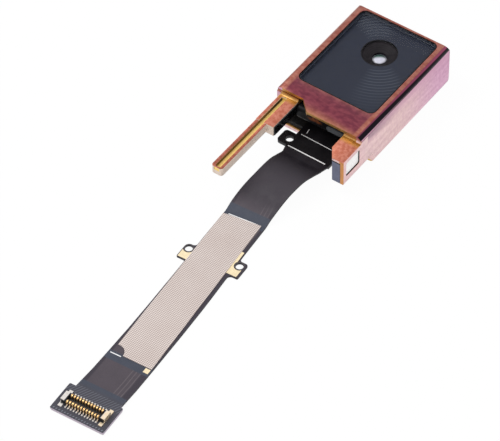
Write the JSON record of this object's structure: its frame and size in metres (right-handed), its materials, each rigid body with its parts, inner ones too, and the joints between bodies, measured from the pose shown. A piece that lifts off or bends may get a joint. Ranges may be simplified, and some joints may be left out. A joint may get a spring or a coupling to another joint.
{
  "type": "pop-up camera module",
  "caption": "Slide-out front camera module of a phone: metal housing with drive arm and magnet leg, window glass, lens, flex circuit and board connector.",
  "frame": {"origin": "where the optical axis meets the housing's flat rear face", "axes": "+X across the housing towards the magnet leg, +Y towards its closed far end, +Z out of the window along the optical axis"},
  "size_m": [0.0126, 0.0647, 0.0061],
  "materials": {
    "housing_metal": "anodised red violet with bare gold-toned edges, satin",
    "window_glass": "polished",
    "window_film": "dark slate film with fine rings",
    "black_adhesive": "matte",
    "black_foam": "matte foam",
    "barrel_plastic": "fine matte",
    "lens_glass": "coated optical",
    "spacer_black": "matte",
    "holder_plastic": "matte moulded",
    "filter_glass": "coated",
    "silicon": "polished silicon",
    "board_laminate": "solder mask",
    "steel_plate": "rolled",
    "ceramic": "ceramic with tinned ends",
    "chip_package": "matte moulded",
    "plug_plastic": "glossy moulded",
    "pad_rubber": "matte rubber",
    "magnet_plating": "nickel plated, dull",
    "glide_plastic": "smooth white",
    "liner_black": "glossy strip",
    "flex_film": "coverlay over copper traces",
    "stiffener_black": "matte laminate",
    "woven_tape": "fine woven conductive cloth",
    "gilt_copper": "gilded",
    "connector_plastic": "moulded",
    "contact_gilt": "gilded",
    "tinned_metal": "tinned"
  },
  "bodies": {
    "root": {"housing": "housing_metal", "window_glass": "window_glass", "pattern_film": "window_film", "window_adhesive": "black_adhesive", "lens_gasket": "black_foam", "lens_barrel": "barrel_plastic", "lens_element_1": "lens_glass", "lens_element_2": "lens_glass", "lens_element_3": "lens_glass", "lens_element_4": "lens_glass", "lens_spacers": "spacer_black", "lens_holder": "holder_plastic", "ir_filter": "filter_glass", "image_sensor": "silicon", "sensor_board": "board_laminate", "board_stiffener": "steel_plate", "rear_foam": "black_foam", "capacitors": "ceramic", "memory_chip": "chip_package", "bottom_cap": "plug_plastic", "cap_pad": "pad_rubber", "hall_magnet": "magnet_plating", "glide_pad": "glide_plastic", "arm_liner": "liner_black", "flex_circuit": "flex_film", "exit_stiffener": "stiffener_black", "ground_tape": "woven_tape", "ground_pads": "gilt_copper", "connector_stiffener": "steel_plate", "connector_housing": "connector_plastic", "connector_contacts": "contact_gilt", "connector_holddowns": "tinned_metal"}
  },
  "joints": []
}
